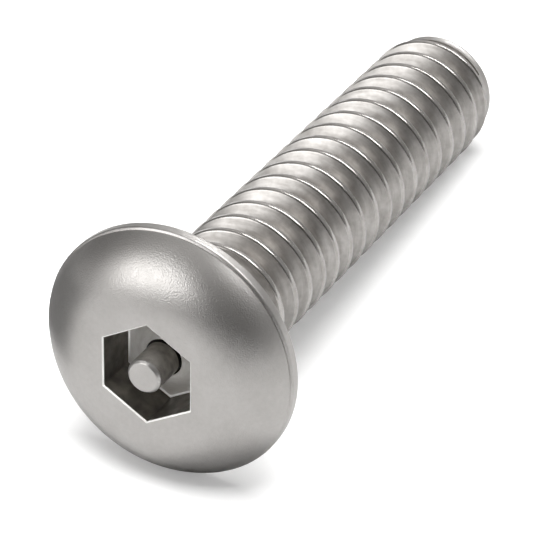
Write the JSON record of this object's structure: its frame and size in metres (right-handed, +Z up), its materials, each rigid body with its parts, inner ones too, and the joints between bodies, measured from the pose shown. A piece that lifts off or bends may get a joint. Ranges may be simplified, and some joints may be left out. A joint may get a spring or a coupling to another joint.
{
  "type": "pin hex security screw",
  "caption": "Security screw with a low button head, a hexagon socket with a centre pin and a fully threaded shank, lying at rest.",
  "frame": {"origin": "middle of the box round the lying screw, on the surface that it lies on", "axes": "+X runs from the head to the tip as seen from above, +Z is up; the screw's own axis slopes down to the tip by 6.6 degrees"},
  "size_m": [0.0232, 0.0092, 0.0092],
  "materials": {
    "steel": "satin"
  },
  "bodies": {
    "root": {"security_screw": "steel"}
  },
  "joints": []
}
